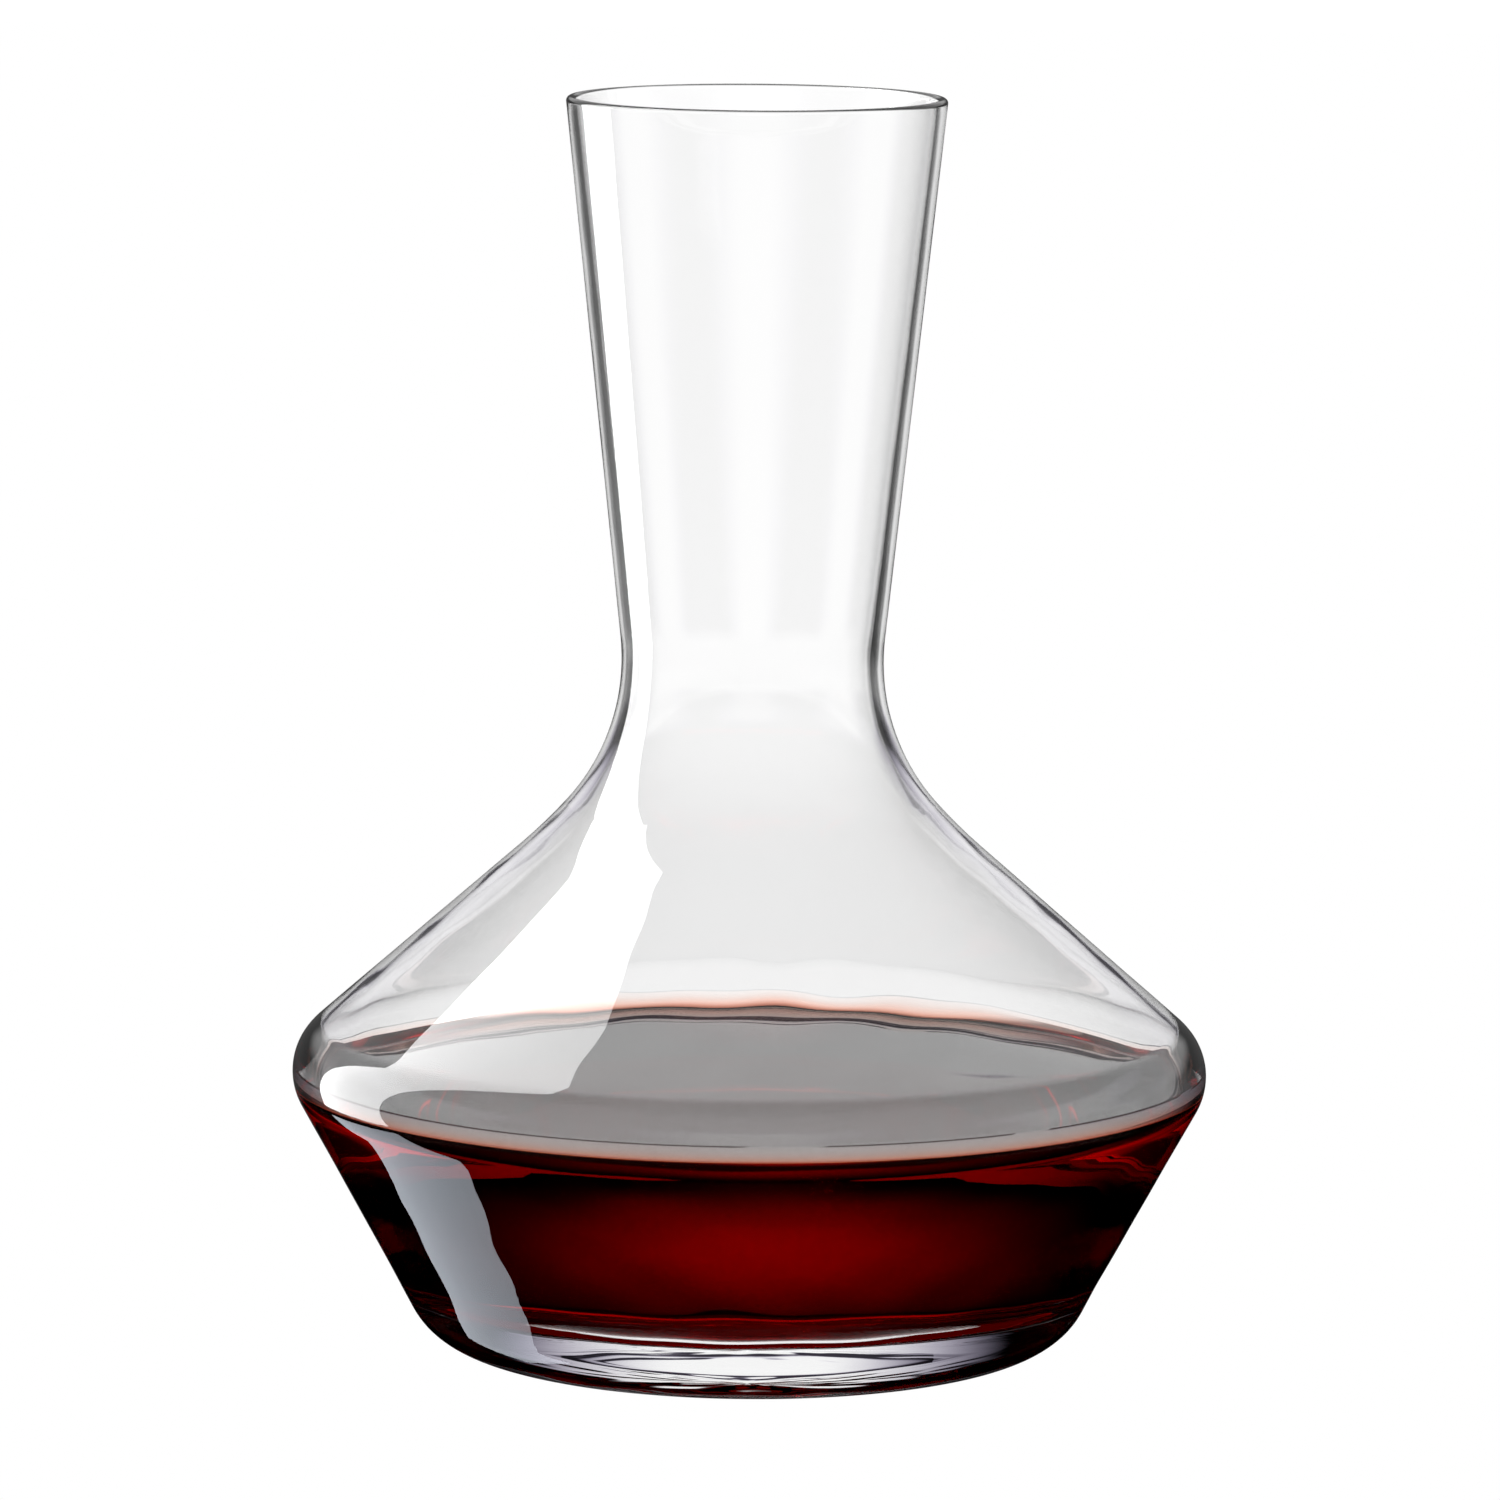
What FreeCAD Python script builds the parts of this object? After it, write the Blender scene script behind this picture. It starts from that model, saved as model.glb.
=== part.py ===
import FreeCAD, Part
import math
import os
import Sketcher

# A wine decanter: one blown glass vessel, and the wine standing in it.
# Millimetres, +Z up. The origin is the centre of the foot, on the surface that the foot rests on.

# Driving sizes. A corner is where two straight runs of the wall would meet, given by its radius from
# the axis and its height. Its round is the radius of the arc that takes the corner off.
SIZES = {
    # outside of the glass
    "overall_height": 243.6,
    "mouth_radius": 36.8,
    "throat_radius": 23.65,
    "throat_height": 120.5,
    "throat_round": 42.0,
    "shoulder_radius": 40.35,
    "shoulder_height": 101.8,
    "shoulder_round": 104.0,
    "belly_radius": 92.0,
    "belly_height": 56.6,
    "belly_round": 11.6,
    "foot_radius": 61.4,
    "heel_round": 15.9,
    # underside: a flat ring to stand on, around a shallow hollow
    "ring_radius": 47.9,
    "hollow_depth": 2.4,
    # inside of the glass: how far each inner corner stands in from the outer one, and below it
    "lip_wall": 1.9,
    "lip_round": 0.9,
    "throat_wall": 2.65,
    "throat_drop": 0.75,
    "shoulder_wall": 1.7,
    "shoulder_drop": 1.7,
    "belly_wall": 2.8,
    "belly_drop": 0.35,
    "inner_belly_round": 11.0,
    # floor of the bowl: a shallow dome, whose crown stands above the floor's corner
    "floor_radius": 60.8,
    "floor_height": 13.0,
    "floor_round": 15.4,
    "crown_radius": 15.0,
    "crown_rise": 3.1,
    "crown_round": 120.0,
    # wine: its flat level, and the curl by which its edge climbs the glass
    "wine_level": 51.5,
    "curl_radius": 86.9,
    "curl_round": 3.5,
}


def make_sheet(doc):
    """Put every driving size in a cell of its own, named by its alias."""
    sheet = doc.addObject("Spreadsheet::Sheet", "Sizes")
    for row, (alias, value) in enumerate(SIZES.items(), start=1):
        sheet.set(f"A{row}", alias)
        sheet.set(f"B{row}", str(value))
        sheet.setAlias(f"B{row}", alias)
    doc.recompute()


def new_sketch(body, name):
    """A sketch on the body's own XZ plane: its x is the radius and its y the height."""
    sketch = body.newObject("Sketcher::SketchObject", name)
    plane = next(item for item in body.Origin.OriginFeatures if item.Role == "XZ_Plane")
    sketch.AttachmentSupport = [(plane, "")]
    sketch.MapMode = "FlatFace"
    return sketch


def bind(sketch, constraint, expression):
    """Add a dimension and tie it to the sheet."""
    index = sketch.addConstraint(constraint)
    sketch.setExpression(f"Constraints[{index}]", expression)


def size_of(sketch, expression):
    """The value of an expression on the sheet."""
    return float(sketch.evalExpression(expression))


def hold(sketch, geometry, point, radius, height):
    """Hold a point of the sketch at a radius and a height. Zero puts it on the sketch's axis."""
    for kind, expression, axis in (("DistanceX", radius, -2), ("DistanceY", height, -1)):
        value = size_of(sketch, expression)
        if value == 0:
            sketch.addConstraint(Sketcher.Constraint("PointOnObject", geometry, point, axis))
        else:
            bind(sketch, Sketcher.Constraint(kind, -1, 1, geometry, point, value), expression)


def corner_arc(before, corner, after, round_radius):
    """The centre of a corner's arc, and where it leaves one run and joins the next."""
    back = (before - corner).normalize()
    ahead = (after - corner).normalize()
    half_angle = back.getAngle(ahead) / 2
    reach = round_radius / math.tan(half_angle)
    centre = corner + (back + ahead).normalize() * (round_radius / math.sin(half_angle))
    return centre, corner + back * reach, corner + ahead * reach


def add_arc(sketch, centre, start, end):
    """Add the short arc from start to end. Returns it with its point numbers at start and end."""
    to_start = start - centre
    to_end = end - centre
    angles = [math.atan2(to_start.y, to_start.x), math.atan2(to_end.y, to_end.x)]
    turns_left = to_start.cross(to_end).z > 0
    if not turns_left:
        angles.reverse()
    circle = Part.Circle(centre, FreeCAD.Vector(0, 0, 1), to_start.Length)
    arc = sketch.addGeometry(Part.ArcOfCircle(circle, *angles), False)
    return (arc, 1, 2) if turns_left else (arc, 2, 1)


def outline(sketch, corners):
    """Draw straight runs from corner to corner, with an arc at each corner that has a round.

    A corner is its radius, height and round, as expressions. Returns the first and the last run.
    """
    points = [FreeCAD.Vector(size_of(sketch, radius), size_of(sketch, height), 0)
              for radius, height, _ in corners]

    joints = []
    for index, (_, _, rounding) in enumerate(corners):
        if rounding is None:
            joints.append((None, points[index], points[index]))
        else:
            size = size_of(sketch, rounding)
            joints.append(corner_arc(points[index - 1], points[index], points[index + 1], size))

    runs = []
    for joint, following in zip(joints, joints[1:]):
        runs.append(sketch.addGeometry(Part.LineSegment(joint[2], following[1]), False))

    hold(sketch, runs[0], 1, corners[0][0], corners[0][1])
    hold(sketch, runs[-1], 2, corners[-1][0], corners[-1][1])
    for index in range(1, len(corners) - 1):
        radius, height, rounding = corners[index]
        run, following = runs[index - 1], runs[index]
        if rounding is None:
            sketch.addConstraint(Sketcher.Constraint("Coincident", run, 2, following, 1))
            hold(sketch, run, 2, radius, height)
            continue
        arc, at_start, at_end = add_arc(sketch, *joints[index])
        corner = sketch.addGeometry(Part.Point(points[index]), True)
        sketch.addConstraint(Sketcher.Constraint("Tangent", run, 2, arc, at_start))
        sketch.addConstraint(Sketcher.Constraint("Tangent", arc, at_end, following, 1))
        sketch.addConstraint(Sketcher.Constraint("PointOnObject", corner, 1, run))
        sketch.addConstraint(Sketcher.Constraint("PointOnObject", corner, 1, following))
        hold(sketch, corner, 1, radius, height)
        bind(sketch, Sketcher.Constraint("Radius", arc, size_of(sketch, rounding)), rounding)
    return runs[0], runs[-1]


def close_on_axis(sketch, top, bottom):
    """Join the outline's two ends, each a geometry and a point, along the axis."""
    low = sketch.getPoint(*bottom)
    high = sketch.getPoint(*top)
    axis = sketch.addGeometry(Part.LineSegment(low, high), False)
    sketch.addConstraint(Sketcher.Constraint("Coincident", axis, 1, *bottom))
    sketch.addConstraint(Sketcher.Constraint("Coincident", axis, 2, *top))


def inside_corners():
    """Inside of the glass, from under the lip down to the floor of the bowl."""
    return [
        ("Sizes.throat_radius - Sizes.throat_wall", "Sizes.throat_height - Sizes.throat_drop",
         "Sizes.throat_round"),
        ("Sizes.shoulder_radius - Sizes.shoulder_wall", "Sizes.shoulder_height - Sizes.shoulder_drop",
         "Sizes.shoulder_round"),
        ("Sizes.belly_radius - Sizes.belly_wall", "Sizes.belly_height - Sizes.belly_drop",
         "Sizes.inner_belly_round"),
        ("Sizes.floor_radius", "Sizes.floor_height", "Sizes.floor_round"),
        ("Sizes.crown_radius", "Sizes.floor_height + Sizes.crown_rise", "Sizes.crown_round"),
        ("0", "Sizes.floor_height + Sizes.crown_rise", None),
    ]


def draw_wall(sketch):
    """The glass in section: up the outside from the foot ring, over the lip and down the inside."""
    first, last = outline(sketch, [
        ("Sizes.ring_radius", "0", None),
        ("Sizes.foot_radius", "0", "Sizes.heel_round"),
        ("Sizes.belly_radius", "Sizes.belly_height", "Sizes.belly_round"),
        ("Sizes.shoulder_radius", "Sizes.shoulder_height", "Sizes.shoulder_round"),
        ("Sizes.throat_radius", "Sizes.throat_height", "Sizes.throat_round"),
        ("Sizes.mouth_radius", "Sizes.overall_height", "Sizes.lip_round"),
        ("Sizes.mouth_radius - Sizes.lip_wall", "Sizes.overall_height", "Sizes.lip_round"),
    ] + inside_corners())
    ring = size_of(sketch, "Sizes.ring_radius")
    depth = size_of(sketch, "Sizes.hollow_depth")
    hollow_round = (ring ** 2 + depth ** 2) / (2 * depth)
    centre = FreeCAD.Vector(0, depth - hollow_round, 0)
    edge = FreeCAD.Vector(ring, 0, 0)
    middle = FreeCAD.Vector(0, depth, 0)
    hollow, at_edge, at_middle = add_arc(sketch, centre, edge, middle)
    sketch.addConstraint(Sketcher.Constraint("Coincident", hollow, at_edge, first, 1))
    sketch.addConstraint(Sketcher.Constraint("PointOnObject", hollow, 3, -2))
    hold(sketch, hollow, at_middle, "0", "Sizes.hollow_depth")
    close_on_axis(sketch, (last, 2), (hollow, at_middle))


def draw_cavity(sketch):
    """All the space inside the glass, up to the mouth."""
    first, last = outline(sketch, [
        ("0", "Sizes.overall_height", None),
        ("Sizes.mouth_radius - Sizes.lip_wall", "Sizes.overall_height", None),
    ] + inside_corners())
    close_on_axis(sketch, (first, 1), (last, 2))


def draw_air(sketch):
    """The space over the wine, whose edge curls up where the wine meets the glass."""
    first, last = outline(sketch, [
        ("0", "Sizes.overall_height", None),
        ("Sizes.curl_radius", "Sizes.overall_height", None),
        ("Sizes.curl_radius", "Sizes.wine_level", "Sizes.curl_round"),
        ("0", "Sizes.wine_level", None),
    ])
    close_on_axis(sketch, (first, 1), (last, 2))


def turn(body, kind, name, draw):
    """Turn one outline all the way round the axis, adding to the body or cutting it."""
    sketch = new_sketch(body, f"{name}_outline")
    draw(sketch)
    feature = body.newObject(kind, name)
    feature.Profile = sketch
    feature.ReferenceAxis = (sketch, ["V_Axis"])
    feature.Angle = 360
    body.Document.recompute()


def make_glass_vessel(doc):
    """The glass in one piece, turned from the section of its wall."""
    body = doc.addObject("PartDesign::Body", "glass_vessel")
    turn(body, "PartDesign::Revolution", "wall", draw_wall)
    return body


def make_red_wine(doc):
    """The wine: the space inside the glass, less the air over it."""
    body = doc.addObject("PartDesign::Body", "red_wine")
    turn(body, "PartDesign::Revolution", "cavity", draw_cavity)
    turn(body, "PartDesign::Groove", "air", draw_air)
    return body


def check(doc, bodies):
    """Stop if any object failed, or if a sub-part isn't one valid solid."""
    for item in doc.Objects:
        if "Invalid" in item.State or "Error" in item.State:
            raise RuntimeError(f"{item.Name} failed: {item.State}")
    for body in bodies:
        shape = body.Shape
        if shape.isNull() or not shape.isValid() or len(shape.Solids) != 1:
            raise RuntimeError(f"{body.Label} isn't one valid solid")


def main():
    doc = FreeCAD.newDocument("decanter")
    make_sheet(doc)
    bodies = [make_glass_vessel(doc), make_red_wine(doc)]
    doc.recompute()
    check(doc, bodies)
    os.makedirs("parts", exist_ok=True)
    for body in bodies:
        body.Placement = FreeCAD.Placement()
        body.Shape.exportStep(f"parts/{body.Label}.step")
        print(f"{body.Label}: {body.Shape.Volume / 1000:.1f} ml")


main()
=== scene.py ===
import math
import bpy
import numpy as np
from mathutils import Euler, Matrix, Vector


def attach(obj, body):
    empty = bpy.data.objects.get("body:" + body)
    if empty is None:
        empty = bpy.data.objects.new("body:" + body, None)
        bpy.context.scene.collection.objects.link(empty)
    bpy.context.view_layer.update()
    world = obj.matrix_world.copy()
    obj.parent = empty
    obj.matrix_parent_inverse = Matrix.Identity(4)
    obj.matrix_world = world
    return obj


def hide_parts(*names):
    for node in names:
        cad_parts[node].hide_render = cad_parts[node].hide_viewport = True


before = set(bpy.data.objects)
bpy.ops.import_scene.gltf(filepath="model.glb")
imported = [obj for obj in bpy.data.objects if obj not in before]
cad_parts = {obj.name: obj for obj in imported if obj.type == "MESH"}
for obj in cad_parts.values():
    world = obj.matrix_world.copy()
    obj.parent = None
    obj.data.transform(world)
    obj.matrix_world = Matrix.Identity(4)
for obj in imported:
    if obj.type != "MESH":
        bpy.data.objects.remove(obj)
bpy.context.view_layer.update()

MM = 0.001
DEGREE = math.radians(1.0)

# ---------------------------------------------------------------- the glass and the wine, in millimetres
# A corner is (radius, height, round): where two straight runs of the wall would meet, and the radius of
# the arc that takes the corner off. The outside goes up from the foot ring, the inside down from the lip.
OUTSIDE = (
    (47.9, 0.0, None),
    (61.4, 0.0, 15.9),
    (92.0, 56.6, 11.6),
    (40.35, 101.8, 104.0),
    (23.65, 120.5, 42.0),
    (36.8, 243.6, 0.9),
)
INSIDE = (
    (34.9, 243.6, 0.9),
    (21.0, 119.75, 42.0),
    (38.65, 100.1, 104.0),
    (89.2, 56.25, 11.0),
    (60.8, 13.0, 15.4),
    (15.0, 16.1, 120.0),
    (0.0, 16.1, None),
)
HOLLOW_DEPTH = 2.4

WINE_LEVEL = 51.5
MENISCUS_CLIMB = 3.4
CAPILLARY_LENGTH = 3.2
# How wide the meniscus is, against a still capillary curve.
MENISCUS_WIDTH = 0.6
# How far the wine stays inside the glass, so that the two skins don't touch.
CONTACT_GAP = 0.02

# The skin of blown glass isn't true: long waves, and finer ones with this share of their height.
LONG_PITCH = (26, 90)
LONG_TURNS = range(1, 15)
WAVES_PER_TURN = 3
FINE_PITCH = (12, 22)
FINE_TURNS = range(8, 24)
FINE_SHARE = 0.8
# At each height, half of how deep the waves go, in millimetres.
WAVES = (
    (0.0, 0.012),
    (5.0, 0.02),
    (14.0, 0.2),
    (38.0, 0.16),
    (48.0, 0.06),
    (64.0, 0.05),
    (95.0, 0.05),
    (128.0, 0.012),
)
# Shallow ripples that the mesh doesn't carry: noise cells to a metre, and depth in metres.
SKIN_SCALE = 45.0
SKIN_DEPTH = 0.000008

RUN_STEP = 2.0
ARC_STEP = 2.5 * DEGREE
TURNS = 256

GLASS_IOR = 1.52
WINE_IOR = 1.34
# How much painted shade greys the glass's colour where it is seen edge on, for its dark rims.
EDGE_PAINTED_SHADE = 0.10
# How much of each colour a metre of wine takes out: exp(-value) gets through.
WINE_TAKES = (11.4, 500.0, 700.0)

WHITE = (1.0, 1.0, 1.0, 1.0)


def corner_arc(before, corner, after, rounding):
    """The points of the arc that rounds a corner, from one run to the next."""
    before, corner, after = (Vector(p[:2]) for p in (before, corner, after))
    back = (before - corner).normalized()
    ahead = (after - corner).normalized()
    half_angle = back.angle(ahead) / 2
    centre = corner + (back + ahead).normalized() * (rounding / math.sin(half_angle))
    start = corner + back * (rounding / math.tan(half_angle)) - centre
    sweep = (math.pi - 2 * half_angle) * math.copysign(1, -back.cross(ahead))
    steps = max(4, math.ceil(abs(sweep) / ARC_STEP))
    points = []
    for step in range(steps + 1):
        turned = Matrix.Rotation(sweep * step / steps, 2) @ start
        points.append(tuple(centre + turned))
    return points


def rounded_path(corners):
    """Points along straight runs and corner arcs, close enough together for a smooth skin."""
    marks = []
    for index, corner in enumerate(corners):
        if corner[2] is None:
            marks.append(corner[:2])
        else:
            marks.extend(corner_arc(corners[index - 1], corner, corners[index + 1], corner[2]))
    path = [marks[0]]
    for start, end in zip(marks, marks[1:]):
        steps = max(1, math.ceil(math.dist(start, end) / RUN_STEP))
        for step in range(1, steps + 1):
            share = step / steps
            path.append(tuple(a + (b - a) * share for a, b in zip(start, end)))
    return path


def hollow_path():
    """The shallow dome under the foot, from the axis out to the ring."""
    ring = OUTSIDE[0][0]
    dome = (ring ** 2 + HOLLOW_DEPTH ** 2) / (2 * HOLLOW_DEPTH)
    steps = math.ceil(ring / RUN_STEP)
    points = []
    for step in range(steps):
        radius = ring * step / steps
        points.append((radius, HOLLOW_DEPTH - dome + math.sqrt(dome ** 2 - radius ** 2)))
    return points


def blown_wave(path, seed):
    """How far a blown skin stands off its true outline, for each point and turn: never outwards."""
    rng = np.random.default_rng(seed)
    along = np.concatenate(([0.0], np.cumsum([math.dist(a, b) for a, b in zip(path, path[1:])])))
    turn = np.linspace(0, 2 * math.pi, TURNS, endpoint=False)
    wave = np.zeros((len(path), TURNS))
    for around in LONG_TURNS:
        for _ in range(WAVES_PER_TURN):
            pitch = rng.uniform(*LONG_PITCH)
            phase, lag = rng.uniform(0, 2 * math.pi, 2)
            wave += np.outer(np.sin(2 * math.pi * along / pitch + phase), np.cos(around * turn + lag))
    wave /= np.abs(wave).max()
    fine = np.zeros_like(wave)
    for around in FINE_TURNS:
        pitch = rng.uniform(*FINE_PITCH)
        phase, lag = rng.uniform(0, 2 * math.pi, 2)
        fine += np.outer(np.sin(2 * math.pi * along / pitch + phase), np.cos(around * turn + lag))
    wave = (wave + FINE_SHARE * fine / np.abs(fine).max()) / (1 + FINE_SHARE)
    amount = np.interp([point[1] for point in path], *zip(*WAVES))
    return amount[:, None] * (wave - 1)


def lathe(name, path, wave):
    """Turn a path round the axis. It starts and ends on the axis. wave moves each point off the path."""
    points = np.array(path)
    along = np.gradient(points, axis=0)
    along /= np.linalg.norm(along, axis=1)[:, None]
    outward = np.stack((along[:, 1], -along[:, 0]), axis=1)
    turn = np.linspace(0, 2 * math.pi, TURNS, endpoint=False)
    inner = slice(1, len(path) - 1)
    radius = points[inner, 0][:, None] + outward[inner, 0][:, None] * wave[inner]
    height = points[inner, 1][:, None] + outward[inner, 1][:, None] * wave[inner]
    rings = np.stack((radius * np.cos(turn), radius * np.sin(turn), height), axis=2).reshape(-1, 3)
    first_pole = (0.0, 0.0, points[0, 1] + outward[0, 1] * wave[0].mean())
    last_pole = (0.0, 0.0, points[-1, 1] + outward[-1, 1] * wave[-1].mean())
    vertices = np.vstack((rings, first_pole, last_pole)) * MM
    count = len(path) - 2
    pole_a, pole_b = count * TURNS, count * TURNS + 1
    faces = []
    for step in range(TURNS):
        following = (step + 1) % TURNS
        faces.append((pole_a, following, step))
        for ring in range(count - 1):
            low, high = ring * TURNS, (ring + 1) * TURNS
            faces.append((low + step, low + following, high + following, high + step))
        last = (count - 1) * TURNS
        faces.append((last + step, last + following, pole_b))
    mesh = bpy.data.meshes.new(name)
    mesh.from_pydata(vertices.tolist(), [], faces)
    mesh.shade_smooth()
    piece = bpy.data.objects.new(name, mesh)
    bpy.context.scene.collection.objects.link(piece)
    return piece


def split_at_height(path, height):
    """Cut a downward path where it passes a height. Both parts hold the cut."""
    for index, (above, below) in enumerate(zip(path, path[1:])):
        if above[1] >= height > below[1]:
            share = (above[1] - height) / (above[1] - below[1])
            cut = (above[0] + (below[0] - above[0]) * share, height)
            return path[: index + 1] + [cut], [cut] + path[index + 1 :]
    raise ValueError("the path never passes that height")


def meniscus_path(wall_radius):
    """The wine's surface from the glass in to the axis: a capillary curve, then flat."""

    def reach(rise):
        ratio = rise / CAPILLARY_LENGTH
        curved = math.acosh(math.sqrt(2) / ratio) / math.sqrt(2)
        return MENISCUS_WIDTH * CAPILLARY_LENGTH * (curved - math.sqrt(2 - ratio ** 2))

    start = reach(MENISCUS_CLIMB)
    curve_steps, flat_steps = 25, 40
    # More points where the curve runs out into the level.
    crowding = 2.2
    points = []
    for step in range(1, curve_steps):
        rise = MENISCUS_CLIMB * (1 - step / curve_steps) ** crowding
        points.append((wall_radius - (reach(rise) - start), WINE_LEVEL + rise))
    edge = points[-1][0]
    for step in range(1, flat_steps + 1):
        points.append((edge * (1 - step / flat_steps), WINE_LEVEL))
    return points


# ---------------------------------------------------------------- materials


class Nodes:
    """A material's or world's node tree, written as calls."""

    def __init__(self, owner):
        owner.use_nodes = True
        self.tree = owner.node_tree
        self.tree.nodes.clear()

    def add(self, kind, **inputs):
        """Add a node. Inputs are values or sockets, by name with _ for a space."""
        node = self.tree.nodes.new(kind)
        for key, value in inputs.items():
            self.set(node, key.replace("_", " "), value)
        return node

    def set(self, node, key, value):
        socket = node.inputs[key]
        if isinstance(value, bpy.types.NodeSocket):
            self.tree.links.new(value, socket)
        else:
            socket.default_value = value

    def math(self, operation, *values):
        node = self.tree.nodes.new("ShaderNodeMath")
        node.operation = operation
        for index, value in enumerate(values):
            self.set(node, index, value)
        return node.outputs[0]

    def ramp(self, value, low, high, at_low, at_high):
        """A smooth step from one value to another."""
        node = self.tree.nodes.new("ShaderNodeMapRange")
        node.interpolation_type = "SMOOTHSTEP"
        for index, item in enumerate((value, low, high, at_low, at_high)):
            self.set(node, index, item)
        return node.outputs[0]

    def angle_ramp(self, angle, low, high, at_low, at_high):
        """A smooth step between two angles, which are in degrees."""
        return self.ramp(angle, low * DEGREE, high * DEGREE, at_low, at_high)

    def mix(self, share, first, second):
        """A blend of two numbers."""
        return self.math("ADD", first, self.math("MULTIPLY", share, self.math("SUBTRACT", second, first)))

    def finish(self, kind, surface, volume=None):
        output = self.add(kind)
        self.set(output, "Surface", surface)
        if volume is not None:
            self.set(output, "Volume", volume)


def fine_skin(nodes):
    """A bump for shallow ripples that the mesh doesn't carry."""
    place = nodes.add("ShaderNodeTexCoord").outputs["Object"]
    noise = nodes.add("ShaderNodeTexNoise", Vector=place, Scale=SKIN_SCALE, Detail=0.0)
    bump = nodes.add("ShaderNodeBump", Strength=1.0, Distance=SKIN_DEPTH, Height=noise.outputs["Fac"])
    return bump.outputs["Normal"]


def glass_material(name, ior):
    """Clear blown glass: shallow ripples, and painted shade, a grey cast where it is seen edge on."""
    material = bpy.data.materials.new(name)
    nodes = Nodes(material)
    # Painted shade: the colour turns grey towards edges seen edge on, darkening the rims.
    edge = nodes.add("ShaderNodeLayerWeight", Blend=0.35).outputs["Facing"]
    edge_shade = nodes.math("MULTIPLY", nodes.math("POWER", edge, 3.0), EDGE_PAINTED_SHADE)
    clear = nodes.math("SUBTRACT", 1.0, edge_shade)
    colour = nodes.add("ShaderNodeCombineColor", Red=clear, Green=clear, Blue=clear)
    shader = nodes.add(
        "ShaderNodeBsdfPrincipled",
        Base_Color=colour.outputs[0],
        Roughness=0.0,
        IOR=ior,
        Transmission_Weight=1.0,
        Normal=fine_skin(nodes),
    )
    nodes.finish("ShaderNodeOutputMaterial", shader.outputs[0])
    return material


def wine_material():
    """Red wine: it takes the blue and green out of light, and the red only over a long way.

    Where it touches the glass, the glass's own skin bends the light, so there the wine's doesn't.
    """
    material = bpy.data.materials.new("wine")
    nodes = Nodes(material)
    geometry = nodes.add("ShaderNodeNewGeometry")
    facing = nodes.add("ShaderNodeSeparateXYZ", Vector=geometry.outputs["True Normal"])
    place = nodes.add("ShaderNodeSeparateXYZ", Vector=geometry.outputs["Position"])
    # The surface is what faces up, from just under the level. On a face seen from inside the wine the
    # true normal turns over, so from under the surface this is 0 and the light goes straight on.
    just_under, faces_up = 0.5, 0.05
    above = nodes.math("GREATER_THAN", place.outputs["Z"], (WINE_LEVEL - just_under) * MM)
    upward = nodes.math("GREATER_THAN", facing.outputs["Z"], faces_up)
    surface = nodes.math("MULTIPLY", above, upward)
    shader = nodes.add(
        "ShaderNodeBsdfPrincipled",
        Base_Color=WHITE,
        Roughness=0.0,
        IOR=nodes.math("MULTIPLY_ADD", surface, WINE_IOR - 1.0, 1.0),
        Transmission_Weight=1.0,
    )
    density = max(WINE_TAKES)
    tint = [1.0 - taken / density for taken in WINE_TAKES] + [1.0]
    volume = nodes.add("ShaderNodeVolumeAbsorption", Color=tint, Density=density)
    nodes.finish("ShaderNodeOutputMaterial", shader.outputs[0], volume.outputs[0])
    return material


# ---------------------------------------------------------------- pieces


def glass_paths():
    """The section of the glass, cut where the wine's edge meets the inside: dry part, then wetted part."""
    whole = hollow_path() + rounded_path(OUTSIDE + INSIDE)
    top = max(range(len(whole)), key=lambda index: whole[index][1])
    dry, wet = split_at_height(whole[top:], WINE_LEVEL + MENISCUS_CLIMB)
    return whole[:top] + dry, wet


def make_glass(dry, wet, wave):
    """The vessel: one closed skin, whose faces below the wine's edge lie against wine."""
    glass = lathe("glass_vessel_blown", dry + wet[1:], wave)
    glass.data.materials.append(glass_material("glass", GLASS_IOR))
    glass.data.materials.append(glass_material("glass_against_wine", GLASS_IOR / WINE_IOR))
    faces_per_turn = len(wave) - 1
    slots = [int(index % faces_per_turn >= len(dry) - 1) for index in range(len(glass.data.polygons))]
    glass.data.polygons.foreach_set("material_index", slots)
    return glass


def make_wine(wet, wave):
    """The wine: it follows the glass's own waves, a hair inside them, up to its curved edge."""
    against_glass = wet[::-1]
    surface = meniscus_path(wet[0][0])
    wall_wave = -wave[::-1]
    blend_steps = 8
    edge_wave = np.zeros((len(surface), TURNS))
    for index in range(blend_steps):
        edge_wave[index] = wall_wave[-1] * (1 - index / blend_steps)
    wine = lathe("red_wine_fill", against_glass + surface, np.vstack((wall_wave - CONTACT_GAP, edge_wave)))
    wine.data.materials.append(wine_material())
    return wine


def make_pieces():
    dry, wet = glass_paths()
    wave = blown_wave(dry + wet[1:], seed=3)
    glass = make_glass(dry, wet, wave)
    wine = make_wine(wet, wave[len(dry) - 1 :])
    for piece, node, slot in ((glass, "glass_vessel", "glass"), (wine, "red_wine", "wine")):
        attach(piece, "root")
        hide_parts(node)


# ---------------------------------------------------------------- studio


def make_camera():
    """A little above the mouth, about 1.8 m off, and looking 8 degrees down."""
    data = bpy.data.cameras.new("camera")
    data.sensor_width = 36.0
    data.lens = 220.6
    data.shift_x = -0.00127
    camera = bpy.data.objects.new("camera", data)
    camera.location = (0.0, -1.7645, 0.3706)
    pitch, roll = 0.1428, 0.0081
    aim = Euler((math.pi / 2 - pitch, 0.0, 0.0)).to_matrix().to_4x4()
    camera.matrix_world = Matrix.Translation(camera.location) @ aim @ Matrix.Rotation(roll, 4, "Z")
    bpy.context.scene.collection.objects.link(camera)
    bpy.context.scene.camera = camera


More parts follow.
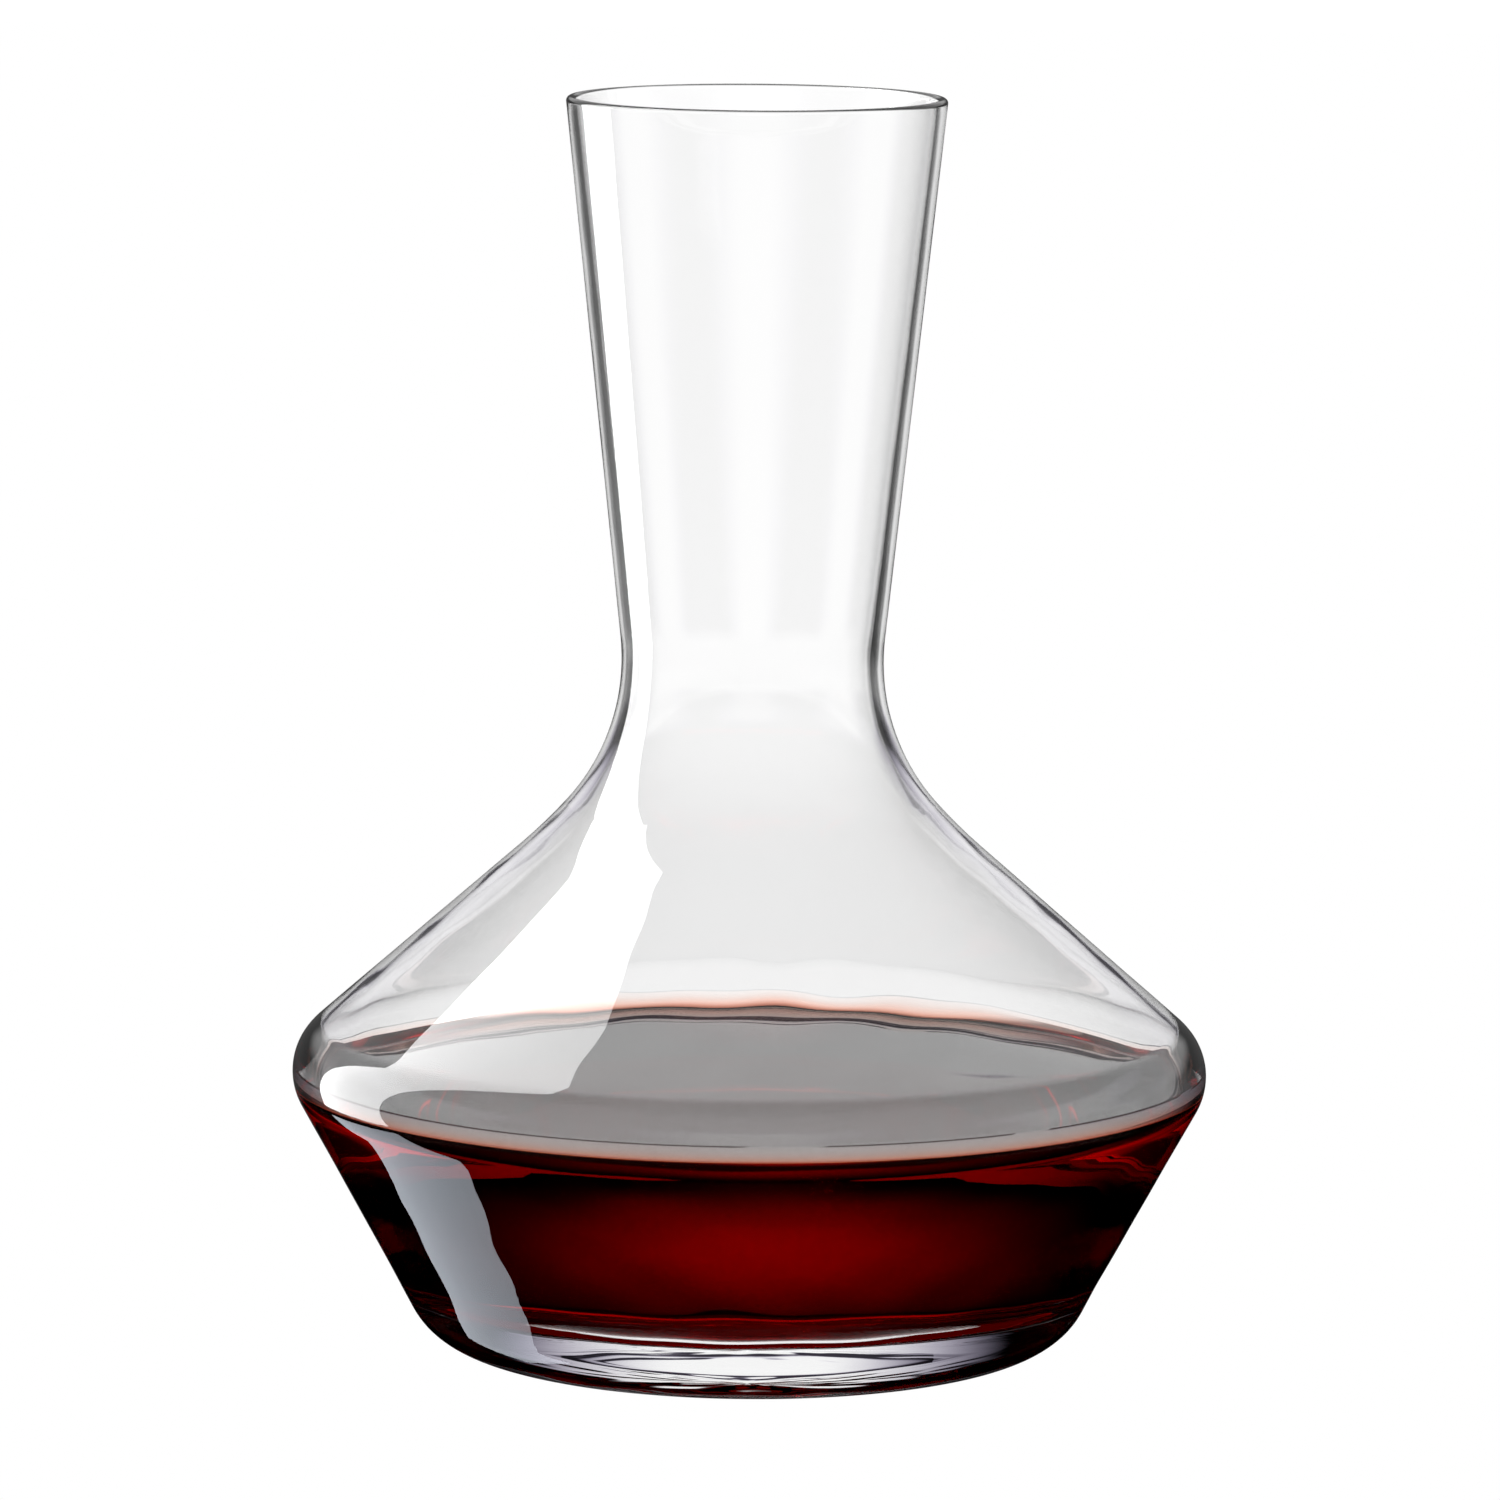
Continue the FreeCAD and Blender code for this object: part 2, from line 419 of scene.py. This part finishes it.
def dark_flags(nodes, azimuth, height, right):
    """Two dark flags behind the decanter, left and right.

    Returns how bright a flag is, how far past its outer edge a direction is, and what stands there.
    """
    # The right flag's foot spreads where it meets the table, and the left one's is lit.
    low = nodes.angle_ramp(height, -14, -9, 1.0, 0.0)
    foot = nodes.math("MULTIPLY", low, right)
    flag = nodes.mix(low, 0.10, nodes.mix(right, 0.32, 0.04))
    inner = nodes.mix(foot, nodes.mix(right, 14 * DEGREE, 20 * DEGREE), 12 * DEGREE)
    outer = nodes.mix(foot, nodes.mix(right, 34 * DEGREE, 40 * DEGREE), 54 * DEGREE)
    into_flag = nodes.angle_ramp(nodes.math("SUBTRACT", azimuth, inner), 0, 8, 0.0, 1.0)
    out_of_flag = nodes.angle_ramp(nodes.math("SUBTRACT", azimuth, outer), 0, 9, 0.0, 1.0)
    sides = nodes.angle_ramp(azimuth, 54, 72, 0.25, 0.9)
    behind = nodes.mix(into_flag, 1.04, flag)
    return flag, out_of_flag, nodes.mix(out_of_flag, behind, sides)


def soft_lamp(nodes, x, y, azimuth, height):
    """The soft lamp that light rising through the wine and the base sees. It is behind from four sides."""
    turn = nodes.math("PINGPONG", nodes.math("ARCTAN2", x, y), 45 * DEGREE)
    level = nodes.angle_ramp(height, 3, 7, 1.0, 0.0)
    edge = nodes.mix(level, 42 * DEGREE, 28 * DEGREE)
    lamp = nodes.ramp(turn, 8 * DEGREE, edge, 1.0, 0.0)
    # Above this height only the lamp straight ahead is there.
    low_side = nodes.angle_ramp(height, 11, 17, 1.0, 0.0)
    ahead = nodes.math("LESS_THAN", azimuth, 45 * DEGREE)
    lamp = nodes.math("MULTIPLY", lamp, nodes.math("MAXIMUM", low_side, ahead))
    # A dark slot straight ahead, just over the table's edge, for the wine's top corners.
    slot_low = nodes.angle_ramp(height, 1.2, 2.4, 0.0, 1.0)
    slot_high = nodes.angle_ramp(height, 4.2, 5.2, 1.0, 0.0)
    slot = nodes.math("MULTIPLY", slot_low, slot_high)
    slot = nodes.math("MULTIPLY", slot, nodes.math("LESS_THAN", azimuth, 24 * DEGREE))
    return nodes.math("MULTIPLY", lamp, nodes.mix(slot, 1.0, 0.05))


def make_world():
    """A white studio, by direction: what the camera, the glass and its reflections see of it."""
    world = bpy.data.worlds.new("studio")
    bpy.context.scene.world = world
    nodes = Nodes(world)
    way = nodes.add("ShaderNodeTexCoord").outputs["Generated"]
    x, y, z = nodes.add("ShaderNodeSeparateXYZ", Vector=way).outputs
    azimuth = nodes.math("ARCTAN2", nodes.math("ABSOLUTE", x), y)
    height = nodes.math("ARCSINE", z)
    right = nodes.math("GREATER_THAN", x, 0.0)

    flag, out_of_flag, flags = dark_flags(nodes, azimuth, height, right)
    lamp = soft_lamp(nodes, x, y, azimuth, height)
    rising = nodes.angle_ramp(height, -5, -1, 0.0, 1.0)
    ceiling = nodes.angle_ramp(height, 14, 26, 1.0, 0.12)
    under = nodes.angle_ramp(height, -50, -24, 0.03, 1.0)
    seen_through = nodes.mix(rising, flags, lamp)
    seen_through = nodes.math("MULTIPLY", seen_through, nodes.math("MULTIPLY", ceiling, under))

    over_flag = nodes.angle_ramp(height, 4, 12, 0.0, 1.0)
    reflected = nodes.mix(over_flag, nodes.mix(out_of_flag, flag, 0.5), 0.8)
    reflected = nodes.mix(nodes.angle_ramp(height, 50, 70, 0.0, 1.0), reflected, 0.5)
    above_table = nodes.angle_ramp(height, -16, -2, 0.0, 1.0)
    reflected = nodes.math("MULTIPLY", reflected, above_table)

    light = nodes.add("ShaderNodeLightPath")
    through = light.outputs["Is Transmission Ray"]
    strength = nodes.mix(through, reflected, seen_through)
    strength = nodes.mix(light.outputs["Is Camera Ray"], strength, 1.1)
    # Away from its middle the lamp is a little violet.
    away = nodes.math("SUBTRACT", 1.0, lamp)
    violet = nodes.math("MULTIPLY", nodes.math("MULTIPLY", rising, through), away)
    red, green = nodes.mix(violet, 1.0, 0.80), nodes.mix(violet, 1.0, 0.72)
    colour = nodes.add("ShaderNodeCombineColor", Red=red, Green=green, Blue=1.0)
    shader = nodes.add("ShaderNodeBackground", Color=colour.outputs[0], Strength=strength)
    nodes.finish("ShaderNodeOutputWorld", shader.outputs[0])


def stage_sheet(name, vertices, faces):
    """Add a stage object, which lights nothing and isn't reflected. Returns it and its material's nodes."""
    mesh = bpy.data.meshes.new(name)
    mesh.from_pydata(vertices, [], faces)
    sheet = bpy.data.objects.new(name, mesh)
    bpy.context.scene.collection.objects.link(sheet)
    material = bpy.data.materials.new(name)
    mesh.materials.append(material)
    sheet.visible_glossy = False
    sheet.visible_diffuse = False
    sheet.visible_shadow = False
    return sheet, Nodes(material)


def flat_sheet(name, side, near, far, drop):
    """A stage sheet that lies this far under the foot, from side to side and from near to far."""
    corners = [(-side, near), (side, near), (side, far), (-side, far)]
    return stage_sheet(name, [(x, y, -drop) for x, y in corners], [(0, 1, 2, 3)])


def finish_sheet(nodes, strength, clear_share):
    """Finish a stage material: plain white light, of which a share is clear instead."""
    light = nodes.add("ShaderNodeEmission", Color=WHITE, Strength=strength)
    clear = nodes.add("ShaderNodeBsdfTransparent")
    shader = nodes.add("ShaderNodeMixShader", Fac=clear_share)
    nodes.set(shader, 1, light.outputs[0])
    nodes.set(shader, 2, clear.outputs[0])
    nodes.finish("ShaderNodeOutputMaterial", shader.outputs[0])


def make_floor():
    """The white table that the decanter stands on. From below it is clear."""
    reach = 4.0
    floor, nodes = flat_sheet("table", reach, -reach, reach, 0.5 * MM)
    floor.visible_transmission = False
    behind = nodes.add("ShaderNodeNewGeometry").outputs["Backfacing"]
    finish_sheet(nodes, 1.0, behind)


def make_pad():
    """The wine's shadow on the table under the foot, which shows only through the glass."""
    back, radius = 48 * MM, 88 * MM
    core, shade = 81 * MM, 0.03
    pad, nodes = flat_sheet("table_shadow", radius, back - radius, back + radius, 0.4 * MM)
    pad.visible_camera = False
    place = nodes.add("ShaderNodeTexCoord").outputs["Object"]
    distance = nodes.add("ShaderNodeVectorMath")
    distance.operation = "DISTANCE"
    nodes.set(distance, 0, place)
    nodes.set(distance, 1, (0.0, back, 0.0))
    light = nodes.ramp(distance.outputs["Value"], core, radius, shade, 1.0)
    outside = nodes.math("GREATER_THAN", distance.outputs["Value"], radius)
    behind = nodes.add("ShaderNodeNewGeometry").outputs["Backfacing"]
    finish_sheet(nodes, light, nodes.math("MAXIMUM", outside, behind))


def glow_windows(nodes):
    """Four soft windows in the painted-shade jacket, a quarter turn apart, where light gets through and the
    wine glows red. Returns how clear they are.
    """
    height, spread_up = 32.5 * MM, 7.6 * MM
    turned, spread_across = 1.5 * DEGREE, 8.8 * DEGREE
    top_low, top_high = 42 * MM, 48 * MM
    place = nodes.add("ShaderNodeTexCoord").outputs["Object"]
    x, y, z = nodes.add("ShaderNodeSeparateXYZ", Vector=place).outputs
    turn = nodes.math("SUBTRACT", nodes.math("ARCTAN2", x, y), turned)
    across = nodes.math("DIVIDE", nodes.math("PINGPONG", turn, 45 * DEGREE), spread_across)
    up = nodes.math("DIVIDE", nodes.math("SUBTRACT", z, height), spread_up)
    square = nodes.math("ADD", nodes.math("MULTIPLY", across, across), nodes.math("MULTIPLY", up, up))
    window = nodes.math("EXPONENT", nodes.math("MULTIPLY", square, -0.5))
    return nodes.math("MULTIPLY", window, nodes.ramp(z, top_low, top_high, 1.0, 0.0))


def make_bowl_painted_shade():
    """A black jacket of painted shade just clear of the bowl's lower wall, open in four windows. It shows
    only through the glass.
    """
    foot, belly = OUTSIDE[1], OUTSIDE[2]
    slope = (belly[0] - foot[0]) / belly[1]
    gap = 1.5
    profile = [(foot[0] + slope * height + gap, height) for height in (13.5, 48.5)]
    steps = 96
    vertices, faces = [], []
    for step in range(steps):
        turn = 2 * math.pi * step / steps
        for radius, height in profile:
            vertices.append((radius * math.cos(turn) * MM, radius * math.sin(turn) * MM, height * MM))
        first, following = 2 * step, 2 * ((step + 1) % steps)
        faces.append((first, following, following + 1, first + 1))
    jacket, nodes = stage_sheet("bowl_painted_shade", vertices, faces)
    jacket.visible_camera = False
    # Painted shade: black everywhere but in the four windows, so the wine is dark around its glow.
    finish_sheet(nodes, 0.0, glow_windows(nodes))


def make_soft_box(name, side, depth, height, radiance, colour):
    """An upright rectangular lamp beside the decanter. depth and height are each a lowest and a highest."""
    data = bpy.data.lights.new(name, "AREA")
    data.shape = "RECTANGLE"
    data.size = depth[1] - depth[0]
    data.size_y = height[1] - height[0]
    data.energy = radiance * math.pi * data.size * data.size_y
    data.color = colour
    lamp = bpy.data.objects.new(name, data)
    lamp.location = (side, sum(depth) / 2, sum(height) / 2)
    lamp.rotation_euler = (math.pi / 2, 0.0, math.copysign(math.pi / 2, side))
    lamp.visible_camera = False
    lamp.visible_transmission = False
    bpy.context.scene.collection.objects.link(lamp)


def make_soft_boxes():
    """A tall soft box on the left, and a dimmer one below for its mirror image in the table."""
    side, depth = -0.6, (0.085, 0.50)
    make_soft_box("left_soft_box", side, depth, (-0.13, 1.50), 6.5, (1.0, 1.0, 1.0))
    make_soft_box("left_soft_box_image", side, depth, (-0.90, -0.20), 3.0, (0.84, 0.90, 1.0))


def set_render():
    scene = bpy.context.scene
    scene.view_settings.view_transform = "Standard"
    cycles = scene.cycles
    cycles.max_bounces = 32
    cycles.transmission_bounces = 16
    cycles.glossy_bounces = 7
    cycles.transparent_max_bounces = 16
    cycles.use_denoising = True
    cycles.denoiser = "OPENIMAGEDENOISE"
    cycles.caustics_reflective = True
    cycles.caustics_refractive = True


make_camera()
make_world()
make_floor()
make_pad()
make_bowl_painted_shade()
make_soft_boxes()
set_render()
make_pieces()
